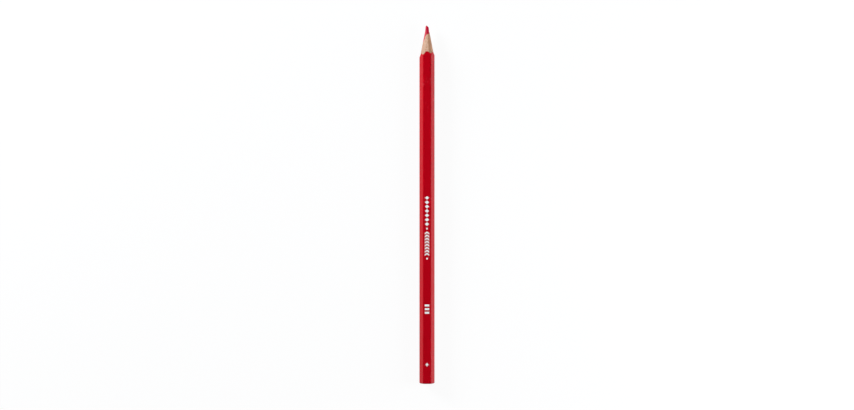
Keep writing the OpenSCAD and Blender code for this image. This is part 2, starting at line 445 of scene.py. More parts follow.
across, down, _ = add(tree, SEPARATE, {0: flat_place}).outputs
along = add(tree, MATH, {0: along, 1: given["Half length"]}, operation="SUBTRACT")
up = add(tree, MATH, {0: given["Axis height"], 1: down}, operation="SUBTRACT")
lying = add(tree, "ShaderNodeCombineXYZ", {"X": across, "Y": along, "Z": up})
placed = add(tree, "GeometryNodeSetPosition", {"Geometry": grid, "Position": lying})
joined = add(tree, "GeometryNodeMergeByDistance", {"Geometry": placed, "Distance": WELD})
joined = add(tree, "GeometryNodeFlipFaces", {"Mesh": joined})
print("in the lying frame:", len(tree.nodes), "nodes")

# %% Dents in the coat
# The nearest dent presses the surface in and bruises the paint, most of all in its middle.
dents = add(tree, "GeometryNodeObjectInfo", {"Object": given["Dents"]}).outputs["Geometry"]
nearest = add(tree, "GeometryNodeSampleNearest", {"Geometry": dents, "Sample Position": position})
of_dent = {}
for label in ("dent_width", "dent_depth", "dent_paleness"):
    value = add(tree, "GeometryNodeInputNamedAttribute", {"Name": label}, data_type="FLOAT")
    of_dent[label] = add(tree, SAMPLE_INDEX,
                         {"Geometry": dents, "Value": value, "Index": nearest}, data_type="FLOAT")
dent_place = add(tree, SAMPLE_INDEX,
                 {"Geometry": dents, "Value": position, "Index": nearest}, data_type="FLOAT_VECTOR")
far = add(tree, VECTOR_MATH, {0: dent_place, 1: position}, operation="DISTANCE").outputs["Value"]
struck = add(tree, MAP_RANGE,
             {"Value": far, "From Max": of_dent["dent_width"], "To Min": 1.0, "To Max": 0.0},
             interpolation_type="SMOOTHSTEP")
bruise = add(tree, MATH, {0: struck, 1: of_dent["dent_paleness"]}, operation="MULTIPLY")
bruised = add(tree, "GeometryNodeStoreNamedAttribute",
              {"Geometry": joined, "Name": "bruise", "Value": bruise}, data_type="FLOAT")
pressed = add(tree, MATH, {0: struck, 1: of_dent["dent_depth"]}, operation="MULTIPLY")
normal = add(tree, "GeometryNodeInputNormal")
press = add(tree, VECTOR_MATH, {0: normal, "Scale": pressed}, operation="SCALE")
press = add(tree, VECTOR_MATH, {0: press, "Scale": -1.0}, operation="SCALE")
worn = add(tree, "GeometryNodeSetPosition", {"Geometry": bruised, "Offset": press})
realized = add(tree, "GeometryNodeRealizeInstances", {"Geometry": worn})
painted = add(tree, "GeometryNodeSetMaterial", {"Geometry": realized, "Material": given["Material"]})
add(tree, "NodeGroupOutput", {0: painted})
print("the whole tree:", len(tree.nodes), "nodes")

# %% [markdown]
# ### From a tree to a piece
# A modifier could stay on the object, but a plain mesh is safer to hand on. So one helper runs a tree and
# keeps its mesh, another makes the loose points that a tree reads, and a third puts a mesh on the pencil.

# %% Helpers for trees and pieces
SMOOTH_ANGLE = math.radians(35)


def points_object(name, points, **values):
    """A mesh of loose points for a tree to read, with a number of each kind for each point."""
    mesh = bpy.data.meshes.new(name)
    mesh.from_pydata([tuple(point) for point in points], [], [])
    for label, numbers in values.items():
        mesh.attributes.new(label, "FLOAT", "POINT").data.foreach_set("value", list(numbers))
    return bpy.data.objects.new(name, mesh)


def grow(tree, identifiers, values):
    """Runs a tree with these input values and gives its result as a plain mesh."""
    seed = bpy.data.objects.new("seed", bpy.data.meshes.new("seed"))
    scene.collection.objects.link(seed)
    modifier = seed.modifiers.new("tree", "NODES")
    modifier.node_group = tree
    for label, value in values.items():
        modifier[identifiers[label]] = value
    evaluated = seed.evaluated_get(bpy.context.evaluated_depsgraph_get())
    mesh = bpy.data.meshes.new_from_object(evaluated)
    seed.modifiers.remove(modifier)
    bpy.data.objects.remove(seed)
    return mesh


def finish_piece(name, mesh, slot, *nodes):
    """Links a mesh as a smooth piece that rides on the pencil and stands for these CAD nodes."""
    mesh.name = name
    mesh.polygons.foreach_set("use_smooth", [True] * len(mesh.polygons))
    mesh.set_sharp_from_angle(angle=SMOOTH_ANGLE)
    piece = bpy.data.objects.new(name, mesh)
    scene.collection.objects.link(piece)
    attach(piece, "root")
    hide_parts(*nodes)
    print(name, len(mesh.polygons), "faces")


print("edges sharper than", round(math.degrees(SMOOTH_ANGLE)), "degrees stay sharp")

# %% [markdown]
# ### Lacquer skin
# Lacquer and varnish are one skin to the eye, so one piece stands for both, and the varnish is the shader's
# coat. A blade doesn't slice paint to a feather edge: it breaks off bluntly and stands a little proud of
# the wood. The barrel has been in a box with others, so it has small dents and scuffs, most of them near
# the point.

# %% Section through the lacquer
LACQUER_T = (FINISHED_FLATS - PRIMED_FLATS) / 2
VARNISH_T = (FINISHED_FLATS - LACQUERED_FLATS) / 2
LACQUER_START = 0.4
LACQUER_FULL = 0.9
DIP_HEIGHT = 1.4
BLUNT_EDGE = 0.55
BLUNT_STEPS = 5
OUTER_CORNER = 0.85
COARSE_ROWS = 36
FINE_ROWS = 90
FINE_SHARE = 0.2

# Under the dip coat the lacquer thins out over the sawn edge.
lacquer_section = [(LACQUER_T, 0, LACQUER_START), (VARNISH_T, 0, LACQUER_FULL), (VARNISH_T, 0, DIP_HEIGHT)]
# Up the barrel, with closer rows near the cut.
coarse_shares = np.linspace(0, 1 - FINE_SHARE, COARSE_ROWS, endpoint=False)
fine_shares = np.linspace(1 - FINE_SHARE, 1, FINE_ROWS, endpoint=False)
for share_of_cut in np.concatenate([coarse_shares, fine_shares]):
    lacquer_section.append((0, share_of_cut, (1 - share_of_cut) * DIP_HEIGHT))
# The broken edge, with its outer corner rubbed down, sloping in to the cut.
lacquer_section.append((0, 1, OUTER_CORNER * BLUNT_EDGE))
for step in range(1, BLUNT_STEPS + 1):
    into = step / BLUNT_STEPS
    lacquer_section.append((into * LACQUER_T, 1, (1 - into) * BLUNT_EDGE))
print("lacquer section:", len(lacquer_section), "points")

# %% Dents
# Each dent: bearing round the barrel in degrees (-90 is the middle of the print), then height, width and
# depth in mm, and how far the paint has paled.
DENTS = [
    (-101, 149.1, 0.7, 0.02, 0.07), (-85, 149.0, 0.7, 0.02, 0.07), (-94, 150.7, 0.8, 0.02, 0.045),
    (-99, 138.6, 0.6, 0.02, 0.06), (-83, 136.4, 0.7, 0.02, 0.06), (-85, 134.3, 0.7, 0.02, 0.05),
    (-122, 147.8, 1.1, 0.09, 0.16), (-122, 149.7, 0.9, 0.05, 0.05), (-61, 150.4, 1.1, 0.05, 0.1),
    (-61, 148.0, 1.1, 0.05, 0.07), (-160, 140.9, 0.9, 0.04, 0.4), (-160, 142.4, 1.2, 0.02, 0.22),
    (-159, 144.2, 1.2, 0.02, 0.22), (-21, 140.3, 0.9, 0.04, 0.35), (60, 151.5, 0.9, 0.06, 0.15),
    (118, 143.0, 1.0, 0.07, 0.15),
]
# The rounded edges reach about a tenth further out than the flats.
EDGE_REACH = FINISHED_FLATS / 2 * 1.1

bearings, dent_heights, widths, depths, paleness = zip(*DENTS)
dent_points = []
for bearing, height_mm in zip(bearings, dent_heights):
    turn = math.radians(bearing)
    from_flat = math.radians(abs(bearing % 60 - 30))
    reach = min(FINISHED_FLATS / 2 / math.cos(from_flat), EDGE_REACH)
    dent_points.append(lie_down((reach * math.cos(turn), reach * math.sin(turn), height_mm)))
dents_object = points_object("dents", dent_points,
                             dent_width=[MM * width for width in widths],
                             dent_depth=[MM * depth_mm for depth_mm in depths],
                             dent_paleness=paleness)
print("dents:", len(DENTS))

# %% Lacquer skin
COLUMNS = 240
RAGGED_EDGE = 0.8
RAGGED_PER_METRE = 600.0
CHIP_SEED = 124.0


def coat(flats, section, material):
    """The mesh of a coat from its width across flats and its section, both in mm."""
    points = [(MM * depth_mm, part, MM * height_mm) for depth_mm, part, height_mm in section]
    return grow(coat_tree, coat_sockets, {
        "Across flats": MM * flats,
        "Edge radius": MM * edge_radius(flats),
        "Columns": COLUMNS,
        "Section": points_object("section", points),
        "Cone axis": (MM * FOOT_AXIS[0], MM * FOOT_AXIS[1], 0.0),
        "Cone apex": MM * (FOOT_TOP + FOOT_R / FOOT_SLOPE),
        "Rise per width": 1 / FOOT_SLOPE,
        "Half length": MM * LENGTH / 2,
        "Axis height": AXIS_HEIGHT,
        "Ragged edge": MM * RAGGED_EDGE,
        "Ragged grain": RAGGED_PER_METRE,
        "Seed": CHIP_SEED,
        "Dents": dents_object,
        "Material": material,
    })


mesh = coat(FINISHED_FLATS, lacquer_section, red_lacquer)
finish_piece("lacquer_skin", mesh, "red_lacquer", "colour_lacquer", "clear_varnish")

# %% [markdown]
# ### Primer
# Under the red lies a thin filler that closes the wood's grain. It soaks into the wood and takes its tone,
# so only the finest line of it shows at the cut. It could be a line painted on the wood, but the tree for
# coats makes the real layer from a thinner section.

# %% Primer
PRIMER_T = (PRIMED_FLATS - WOOD_FLATS) / 2


def dull(name, low, high, patch, roughness):
    """A dried film. To the eye: quiet and matt, drifting between two tones over patches of so many mm."""
    material, tree, place_mm = start_material(name)
    drift = add(tree, NOISE, {"Vector": place_mm, "Scale": 1 / patch, "Detail": 3.0})
    colour = add(tree, MIX, {MIX_SHARE: drift, MIX_A: linear(low), MIX_B: linear(high)},
                 data_type="RGBA").outputs[MIX_RESULT]
    # Six grains of grit to the millimetre.
    grit = add(tree, NOISE, {"Vector": place_mm, "Scale": 6.0, "Detail": 2.0})
    bump = add(tree, BUMP, {"Height": grit, "Strength": 0.3, "Distance": 0.02 * MM})
    shader = add(tree, PRINCIPLED,
                 {"Base Color": colour, "Roughness": roughness, "Normal": bump, "IOR": 1.5})
    add(tree, OUTPUT, {"Surface": shader})
    return material


wood_primer = dull("primer_soaked_into_wood", low="#CCA48B", high="#DFB79E", patch=0.5, roughness=0.6)
primer_section = [(PRIMER_T, 0, BUTT_FACE), (0, 0, BUTT_FACE), (0, 1, 0), (PRIMER_T, 1, 0)]
finish_piece("primer_line", coat(PRIMED_FLATS, primer_section, wood_primer), "primer", "primer_coat")

# %% [markdown]
# ## Two slats of wood
# The casing is two boards of the same soft, even cedar, but not from the same tree: one is pale and the
# other browner, and the joint between them shows on the cone. Their colours also carry painted shade across
# the cone. Booleans could cut them, but would leave long thin faces. So each slat is a fan of columns from
# the core outwards, and each column runs up the outside, over the cone and down the groove. That gives
# closed solids with small even faces just where the blade passed, and they take its traces: shallow facets,
# chatter and torn fibres.

# %% Outline of a hexagon


def hexagon_outline(flats, corner_steps, flat_steps):
    """Points (x, y) round a hexagon with round corners; two of its flats face -Y and +Y."""
    radius = edge_radius(flats)
    corner = (flats / 2 - radius) / math.cos(math.pi / 6)
    arcs = []
    for bearing in np.arange(6) * math.pi / 3:
        turns = bearing + np.linspace(-math.pi / 6, math.pi / 6, corner_steps + 1)
        centre = corner * np.array([math.cos(bearing), math.sin(bearing)])
        arcs.append(centre + radius * np.stack([np.cos(turns), np.sin(turns)], axis=-1))
    steps = np.linspace(0, 1, flat_steps, endpoint=False)[1:, None]
    points = []
    for arc, following in zip(arcs, arcs[1:] + arcs[:1]):
        points.extend([*arc, *((1 - steps) * arc[-1] + steps * following[0])])
    return np.array(points)


CORNER_STEPS = 10
WOOD_FLAT_STEPS = 16
wood_line = hexagon_outline(WOOD_FLATS, CORNER_STEPS, WOOD_FLAT_STEPS)
print("wood outline:", len(wood_line), "points,", round(np.ptp(wood_line[:, 0]), 2), "mm across corners")

# %% Traces of the blade
FACET_DEPTH = 0.02
CHATTER_DEPTH = 0.006
CHATTER_PITCH = 0.5
FIBRE_DEPTH = 0.012

# How fast each trace changes: round the cone, then per millimetre along or across the grain.
FACETS_ROUND = 2.2
FACETS_ALONG = 0.12
WAVER_ALONG = 0.8
FIBRES_ACROSS = 3.5
FIBRES_ALONG = 0.5


def blade_traces(points, heights):
    """How far the sharpened surface lies below the ideal cone, measured along the pencil."""
    traces = np.zeros(heights.shape)
    for place in np.ndindex(heights.shape):
        x, y = points[place]
        z = heights[place]
        bearing = math.atan2(y - CONE_AXIS[1], x - CONE_AXIS[0])
        round_x, round_y = math.cos(bearing), math.sin(bearing)
        facet = noise.noise(Vector((FACETS_ROUND * round_x, FACETS_ROUND * round_y, FACETS_ALONG * z)))
        waver = noise.noise(Vector((round_x, round_y, WAVER_ALONG * z)))
        chatter = math.sin(2 * math.pi * (z / CHATTER_PITCH + waver))
        fibre = noise.noise(Vector((FIBRES_ACROSS * x, FIBRES_ACROSS * y, FIBRES_ALONG * z)))
        traces[place] = FACET_DEPTH * facet + CHATTER_DEPTH * chatter + FIBRE_DEPTH * fibre
    return traces / CONE_SLOPE


sample = blade_traces(wood_line, cone_height(wood_line))
print("traces at the foot of the cone, in mm:", sample.min().round(3), "to", sample.max().round(3))

# %% Solids from lines of the cross-section
FOOT_SHARE = 0.4


def grid_faces(row_count, column_count, start=0, rows_meet=False, columns_meet=True):
    """Quads over rows of points, where the last row or column may meet the first."""
    faces = []
    for row_number in range(row_count if rows_meet else row_count - 1):
        here = start + row_number * column_count
        after = start + (row_number + 1) % row_count * column_count
        for column_number in range(column_count if columns_meet else column_count - 1):
            beside = (column_number + 1) % column_count
            faces.append((here + column_number, here + beside, after + beside, after + column_number))
    return faces


def mesh_of(name, points, faces, material):
    """A mesh in the lying frame from points along the pencil's axis, in mm, with its faces outwards."""
    mesh = bpy.data.meshes.new(name)
    mesh.from_pydata(lie_down(points).tolist(), [], faces)
    work = bmesh.new()
    work.from_mesh(mesh)
    bmesh.ops.remove_doubles(work, verts=work.verts, dist=WELD)
    bmesh.ops.recalc_face_normals(work, faces=work.faces)
    work.to_mesh(mesh)
    work.free()
    mesh.materials.append(material)
    return mesh


def sharpened_sleeve(name, inner, outer, steps, closed, material):
    """A solid between two lines of the cross-section, from the butt up to the sharpened cone."""
    shares = np.linspace(0, 1, steps + 1)[:, None, None]
    cone_points = (1 - shares) * outer + shares * inner
    tops = cone_height(cone_points)
    if not closed:
        # Unlike a closed ring, slats and glue lines reach the coats, so they bend to the foot of the cut.
        near_foot = np.clip(1 - shares[..., 0] / FOOT_SHARE, 0, 1) ** 2
        tops = tops + near_foot * (foot_height(outer) - cone_height(outer))
    tops = tops - blade_traces(cone_points, tops)
    flat_points = np.concatenate([outer[None], cone_points, inner[None]])
    butt = np.full((1, len(outer)), BUTT_FACE)
    heights = np.concatenate([butt, tops, butt])
    points = np.concatenate([flat_points, heights[..., None]], axis=-1)
    row_count, column_count = heights.shape
    faces = grid_faces(row_count, column_count, rows_meet=True, columns_meet=closed)
    if not closed:
        for end_column in (0, column_count - 1):
            faces.append([row_number * column_count + end_column for row_number in range(row_count)])
    return mesh_of(name, points.reshape(-1, 3), faces, material)


print("the wood bends to the foot over", FOOT_SHARE, "of its width")

# %% Lines along the joint and the groove
JOINT_BEARING = math.radians(-71)
JOINT_ALONG = np.array([math.cos(JOINT_BEARING), math.sin(JOINT_BEARING)])
JOINT_ACROSS = np.array([-JOINT_ALONG[1], JOINT_ALONG[0]])
JOINT_T = 0.12


def part_beyond(line, offset, side):
    """The stretch of a closed line that lies more than offset away from the joint, on one side of it."""
    beyond = side * ((line - CORE_AXIS) @ JOINT_ACROSS) - offset
    first = next(i for i in range(len(line)) if beyond[i - 1] <= 0 < beyond[i])
    line, beyond = np.roll(line, -first, axis=0), np.roll(beyond, -first)
    count = next(i for i in range(len(line)) if beyond[i] <= 0)
    last = count - 1
    start = line[0] + (line[-1] - line[0]) * beyond[0] / (beyond[0] - beyond[-1])
    end = line[last] + (line[count] - line[last]) * beyond[last] / (beyond[last] - beyond[count])
    return np.array([start, *line[:count], end])


def foot_on_groove(points, offset, side):
    """Where the column from each point meets the groove, at least offset away from the joint."""
    towards = points - CORE_AXIS
    towards = towards / np.linalg.norm(towards, axis=-1, keepdims=True)
    groove = core_radius(GROOVE_R, towards)
    across_joint = np.maximum(groove * side * (towards @ JOINT_ACROSS), offset)
    along_joint = np.sign(towards @ JOINT_ALONG) * np.sqrt(groove ** 2 - across_joint ** 2)
    return CORE_AXIS + along_joint[:, None] * JOINT_ALONG + side * across_joint[:, None] * JOINT_ACROSS


for side in (-1, 1):
    print("points on side", side, "of the joint:", len(part_beyond(wood_line, JOINT_T / 2, side)))

# %% [markdown]
# ### Cedar
# Cedar is straight-grained and soft. Growth rings run along the board as broad bands, late wood darker than
# early wood. Sharpened, it also shows fine pinkish streaks, short darker flecks where the blade cut across
# the fibres, and rings left by the turning blade. A picture of wood could be wrapped on, but layers of
# noise and waves, worked out in millimetres, keep the right size and run through the solid.

# %% Cedar material
# A Wave texture of scale 1 repeats after this many units.
WAVE_PERIOD = 2 * math.pi / 20


def cedar(name, light, dark, fleck, ring_period, ring_phase):
    """Sharpened cedar. To the eye: dry and matt, broad bands along the board, with streaks and flecks."""
    material, tree, place_mm = start_material(name)
    # Growth rings across the board, with streaks 0.9 mm wide along it.
    growth = add(tree, "ShaderNodeTexWave",
                 {"Vector": place_mm, "Scale": WAVE_PERIOD / ring_period, "Distortion": 0.6, "Detail": 2.0,
                  "Detail Scale": 0.5, "Phase Offset": ring_phase}, bands_direction="X")
    along_grain = add(tree, MAPPING, {"Vector": place_mm, "Scale": (1.1, 0.12, 1.1)})
    streaks = add(tree, NOISE, {"Vector": along_grain, "Scale": 1.0, "Detail": 3.0})
    tone = add(tree, MIX, {0: 0.3, 2: growth.outputs["Fac"], 3: streaks}, data_type="FLOAT")
    colour = add(tree, MIX, {MIX_SHARE: tone, MIX_A: linear(dark), MIX_B: linear(light)},
                 data_type="RGBA").outputs[MIX_RESULT]
    # Flecks 0.5 mm wide and 1.5 mm long. Real ones are half as wide and would not show.
    short_grain = add(tree, MAPPING, {"Vector": place_mm, "Scale": (2.0, 0.7, 2.0)})
    flecks = add(tree, NOISE, {"Vector": short_grain, "Scale": 1.0, "Detail": 4.0})
    some = add(tree, MAP_RANGE, {"Value": flecks, "From Min": 0.52, "From Max": 0.72})
    colour = add(tree, MIX, {MIX_SHARE: some, MIX_A: colour, MIX_B: linear(fleck)},
                 data_type="RGBA").outputs[MIX_RESULT]
    # Fibres 0.1 mm wide, darker where they stand up.
    fibre_grain = add(tree, MAPPING, {"Vector": place_mm, "Scale": (8.0, 0.6, 8.0)})
    fibres = add(tree, NOISE, {"Vector": fibre_grain, "Scale": 1.0, "Detail": 3.0})
    shade = add(tree, MAP_RANGE,
                {"Value": fibres, "From Min": 0.3, "From Max": 0.7, "To Min": 1.15, "To Max": 0.85})
    colour = add(tree, VECTOR_MATH, {0: colour, "Scale": shade}, operation="SCALE")
    # Rings of the blade every 0.5 mm. Real ones are finer and would not show.
    rings = add(tree, "ShaderNodeTexWave",
                {"Vector": place_mm, "Scale": WAVE_PERIOD / 0.5, "Distortion": 2.0, "Detail": 2.0},
                bands_direction="Y")
    both = add(tree, MATH, {0: rings.outputs["Fac"], 1: 0.3, 2: fibres}, operation="MULTIPLY_ADD")
    bump = add(tree, BUMP, {"Height": both, "Strength": 0.5, "Distance": 0.03 * MM})
    rough = add(tree, MAP_RANGE, {"Value": flecks, "To Min": 0.6, "To Max": 0.85})
    shader = add(tree, PRINCIPLED,
                 {"Base Color": colour, "Roughness": rough, "Normal": bump, "IOR": 1.5,
                  "Specular IOR Level": 0.25})
    add(tree, OUTPUT, {"Surface": shader})
    return material


# The growth bands are placed as painted shade: the pale board is lightest beside the joint and darker 2.5
# mm to its left. The brown one is browner by its own tone and darker by painted shade, darkest 1.5 mm to
# the right of the joint.
pale_cedar_painted_shade = cedar("cedar_pale_board_painted_shade", light="#CDAB94", dark="#A58573", fleck="#A57658",
                   ring_period=5.6, ring_phase=math.radians(170))
brown_cedar_and_painted_shade = cedar("cedar_brown_board_and_painted_shade", light="#C39B81", dark="#AB8166", fleck="#9D7050",
                    ring_period=4.0, ring_phase=math.radians(-135))
print(pale_cedar_painted_shade.name, "and", brown_cedar_and_painted_shade.name, len(pale_cedar_painted_shade.node_tree.nodes), "nodes each")

# %% Slats
CONE_ROWS = 56
for name, side, material, slot, node in (
    ("pale_slat", -1, pale_cedar_painted_shade, "light_wood", "stamped_slat"),
    ("brown_slat", 1, brown_cedar_and_painted_shade, "brown_wood", "plain_slat"),
):
    outside = part_beyond(wood_line, JOINT_T / 2, side)
    inside = foot_on_groove(outside, JOINT_T / 2, side)
    mesh = sharpened_sleeve(name, inside, outside, CONE_ROWS, closed=False, material=material)
    finish_piece(name, mesh, slot, node)

# %% [markdown]
# ### Glue
# White glue holds the slats together and the core in its groove. Dried, it is a thin amber film. Between
# the slats it shows as a hair line down the cone, and round the core it has taken up some of the red and is
# darkened further with painted shade. Both could be lines in the wood's material, but they are sleeves like
# the slats, only thinner, so the same function makes them as real layers.

# %% Glue lines
GLUE_SLICES = 4
amber_glue = dull("dried_glue_amber", low="#C09778", high="#D3AD8F", patch=0.6, roughness=0.45)

slices = np.linspace(-JOINT_T / 2, JOINT_T / 2, GLUE_SLICES)
for name, end, node in (
    ("glue_line_upper", 1, "seam_glue_upper"),
    ("glue_line_lower", -1, "seam_glue_lower"),
):
    outside = []
    for offset in slices:
        stretch = part_beyond(wood_line, offset, 1)
        ends = (stretch[0], stretch[-1])
        outside.append(max(ends, key=lambda point: end * ((point - CORE_AXIS) @ JOINT_ALONG)))
    along_joint = end * np.sqrt(core_radius(GROOVE_R, end * JOINT_ALONG) ** 2 - slices ** 2)
    inside = CORE_AXIS + along_joint[:, None] * JOINT_ALONG + slices[:, None] * JOINT_ACROSS
    mesh = sharpened_sleeve(name, inside, np.array(outside), CONE_ROWS, closed=False, material=amber_glue)
    finish_piece(name, mesh, "wood_glue", node)

# %% Glue round the core
CORE_COLUMNS = 96
GLUE_RING_ROWS = 3
# The ring's dark brownish red is partly stain from the core and partly painted shade for the dark line
# round the core's foot.
stained_and_shaded_glue = dull("dried_glue_stained_by_core_and_painted_shade", low="#A64F49", high="#C06F60", patch=0.4, roughness=0.45)

turns = np.linspace(0, 2 * math.pi, CORE_COLUMNS, endpoint=False)
ring = np.stack([np.cos(turns), np.sin(turns)], axis=-1)
core_line = CORE_AXIS + core_radius(CORE_R, ring)[:, None] * ring
groove_line = CORE_AXIS + core_radius(GROOVE_R, ring)[:, None] * ring
mesh = sharpened_sleeve("glue_ring", core_line, groove_line, GLUE_RING_ROWS,
                        closed=True, material=stained_and_shaded_glue)
finish_piece("glue_ring", mesh, "wood_glue", "core_glue")

# %% [markdown]
# ## Wax core
# The core is pigment bound with wax and clay. The sharpener leaves it smooth and a little shiny, and
# drawing has worn its end to a slanted facet and slimmed it just above the wood. One side is paler with
# painted sheen. It lies off the middle of the barrel, so the wood starts lower on one side than on the
# other.
# It could be sculpted, but all of that is one height over the cross-section, so the core is made as rings
# round the cone's axis, each point lifted to that height, with a straight rod below.

# %% Height of the worn core
WORN_SLOPE = 0.12
WORN_R = 0.91
WORN_OFF = 0.06
WORN_BELOW_TIP = 1.95
SHOULDER_R = 1.08
SHOULDER_SLANT = 0.08
SHOULDER_HALF_WIDTH = 0.1
FACET_START = -0.15
FACET_SLOPE = math.tan(math.radians(45))
TIP_ROUNDING = 0.1
DOME_R = 0.7
DOME_OFF = 0.25


def soft_least(heights, rounding):
    """The least of several heights, with the edges between them rounded."""
    heights = np.array(heights)
    least = heights.min(axis=0)
    return least - rounding * np.log(np.exp((least - heights) / rounding).sum(axis=0))


def core_height(points):
    """Height of the core's bare surface: worn tip, shoulder, then the sharpener's cone."""
    x, y = points[..., 0] - CONE_AXIS[0], points[..., 1] - CONE_AXIS[1]
    away = np.hypot(x, y)
    worn = LENGTH - WORN_BELOW_TIP - (np.hypot(x + WORN_OFF, y) - WORN_R) / WORN_SLOPE
    shoulder = SHOULDER_R + SHOULDER_SLANT * x / np.maximum(away, TIP_ROUNDING)
    past = np.clip((away - shoulder) / SHOULDER_HALF_WIDTH / 2 + 0.5, 0, 1)
    past = past * past * (3 - 2 * past)
    side = (1 - past) * worn + past * cone_height(points)
    facet = LENGTH - (x - FACET_START) * FACET_SLOPE
    crown = LENGTH - np.hypot(x + DOME_OFF, y) ** 2 / (2 * DOME_R)
    return soft_least([side, facet, crown], TIP_ROUNDING)


rim = core_height(core_line)
print("height of the core's rim, in mm:", rim.min().round(2), "to", rim.max().round(2))

# %% Wax material


def wax(name, deep, bright, bloom_and_sheen):
    """Pigment in wax and clay. To the eye: a soft sheen over streaks and grains, pale rubbed patches, and
    painted sheen down one side.
    """
    material, tree, place_mm = start_material(name)
    # Pigment streaks along the tip, 0.4 mm wide.
    along_tip = add(tree, MAPPING, {"Vector": place_mm, "Scale": (2.5, 0.5, 2.5)})
    streaks = add(tree, NOISE, {"Vector": along_tip, "Scale": 1.0, "Detail": 3.0})
    colour = add(tree, MIX, {MIX_SHARE: streaks, MIX_A: linear(deep), MIX_B: linear(bright)},
                 data_type="RGBA").outputs[MIX_RESULT]
    # Pale patches 0.6 mm wide where the wax has been rubbed, and a painted sheen in the same pale colour
    # all along the left side.
    rubbed = add(tree, NOISE, {"Vector": place_mm, "Scale": 1.6, "Detail": 4.0})
    patches = add(tree, MAP_RANGE, {"Value": rubbed, "From Min": 0.55, "From Max": 0.8, "To Max": 0.3})
    across = add(tree, SEPARATE, {0: place_mm}).outputs["X"]
    uneven = add(tree, MATH, {0: rubbed, 1: 0.9, 2: across}, operation="MULTIPLY_ADD")
    # Painted sheen: the left side of the core is made paler.
    painted_sheen_side = add(tree, MAP_RANGE,
                    {"Value": uneven, "From Min": 0.1, "From Max": 0.3, "To Min": 0.9, "To Max": 0.0})
    some = add(tree, MATH, {0: patches, 1: painted_sheen_side}, operation="MAXIMUM")
    colour = add(tree, MIX, {MIX_SHARE: some, MIX_A: colour, MIX_B: linear(bloom_and_sheen)},
                 data_type="RGBA").outputs[MIX_RESULT]
    # Seven grains of pigment to the millimetre, some darker than others.
    grains = add(tree, NOISE, {"Vector": place_mm, "Scale": 7.0, "Detail": 2.0})
    shade = add(tree, MAP_RANGE,
                {"Value": grains, "From Min": 0.3, "From Max": 0.7, "To Min": 0.85, "To Max": 1.15})
    colour = add(tree, VECTOR_MATH, {0: colour, "Scale": shade}, operation="SCALE")
    # Turning marks of the blade every 0.4 mm.
    rings = add(tree, "ShaderNodeTexWave",
                {"Vector": place_mm, "Scale": WAVE_PERIOD / 0.4, "Distortion": 3.0, "Detail": 2.0},
                bands_direction="Y")
    both = add(tree, MATH, {0: rings.outputs["Fac"], 1: 0.4, 2: grains}, operation="MULTIPLY_ADD")
    bump = add(tree, BUMP, {"Height": both, "Strength": 0.6, "Distance": 0.05 * MM})
    shader = add(tree, PRINCIPLED,
                 {"Base Color": colour, "Roughness": 0.5, "Normal": bump, "IOR": 1.45,
                  "Specular IOR Level": 0.2})
    add(tree, OUTPUT, {"Surface": shader})
    return material


red_wax = wax("wax_core_red", deep="#A60B28", bright="#B51536", bloom_and_sheen="#B84753")
print(red_wax.name, len(red_wax.node_tree.nodes), "nodes")

# %% Wax core
TIP_RINGS = 60


def fan_faces(middle, start, count):
    """Triangles between one point and a closed ring of points."""
    return [(middle, start + i, start + (i + 1) % count) for i in range(count)]


reaches = np.linspace(0, 1, TIP_RINGS + 1)[1:]
tip_rings = [CONE_AXIS + reach_share * (core_line - CONE_AXIS) for reach_share in reaches]
flat_points = np.concatenate([[CONE_AXIS], *tip_rings, core_line])
heights = np.concatenate([core_height(flat_points[:-CORE_COLUMNS]), np.full(CORE_COLUMNS, BUTT_FACE)])
core_points = np.concatenate([flat_points, heights[:, None]], axis=-1)
butt_ring = range(len(core_points) - CORE_COLUMNS, len(core_points))
core_faces = fan_faces(0, 1, CORE_COLUMNS) + grid_faces(TIP_RINGS + 1, CORE_COLUMNS, start=1)
core_faces.append(list(butt_ring))
finish_piece("wax_core", mesh_of("wax_core", core_points, core_faces, red_wax), "wax_core", "core")

# %% [markdown]
# ## Dipped end
# The butt is dipped once more in lacquer. Surface tension draws the wet coat into a smooth round rim and a
# face that bulges very slightly. A bevel could round the rim, but the outline of the barrel shrinks evenly
# towards the face, so a stack of hexagon outlines, each a little smaller than the one above, gives the rim
# exactly.

# %% Dipped end
RIM_INSET = 0.5
RIM_HEIGHT = 0.75
RIM_STEPS = 10
FACE_BULGE = 0.08
FACE_RINGS = 8
DIP_FLAT_STEPS = 14
red_dip = lacquer("red_dip_lacquer", deep="#A60010", bright="#AC0016", bruised="#E2606C")

# Width across flats and height of each outline, from the wood over the lacquer and down round the rim.
outlines = [(WOOD_FLATS, BUTT_FACE), (LACQUERED_FLATS, LACQUER_FULL), (LACQUERED_FLATS, DIP_HEIGHT),
            (FINISHED_FLATS, DIP_HEIGHT)]
for step in range(RIM_STEPS + 1):
    turn = math.pi / 2 * step / RIM_STEPS
    flats = FINISHED_FLATS - 2 * RIM_INSET * (1 - math.cos(turn))
    outlines.append((flats, FACE_BULGE + (RIM_HEIGHT - FACE_BULGE) * (1 - math.sin(turn))))
rings = [(hexagon_outline(flats, CORNER_STEPS, DIP_FLAT_STEPS), height_mm) for flats, height_mm in outlines]
face_line = rings[-1][0]
for step in range(1, FACE_RINGS):
    scale = 1 - step / FACE_RINGS
    rings.append((scale * face_line, FACE_BULGE * scale ** 2))

count = len(face_line)
dip_points = [(x, y, height_mm) for line, height_mm in rings for x, y in line]
dip_points.append((0, 0, 0))
middle = len(dip_points) - 1
dip_faces = grid_faces(len(rings), count) + fan_faces(middle, middle - count, count)
dip_faces.append(list(range(count)))
finish_piece("dipped_end", mesh_of("dipped_end", dip_points, dip_faces, red_dip), "red_dip", "end_dip")

# %% [markdown]
# ## Foil stamp
# A hot die presses white pigment foil on to the lacquer. The marks are plain geometry in rows: lozenges,
# chevrons, dots, bars and one star. They could be placed one by one, but a row is a shape and a pitch, so a
# tree repeats one mark along the flat, gives it the foil's thickness and slopes its edges a little, as a
# die does.

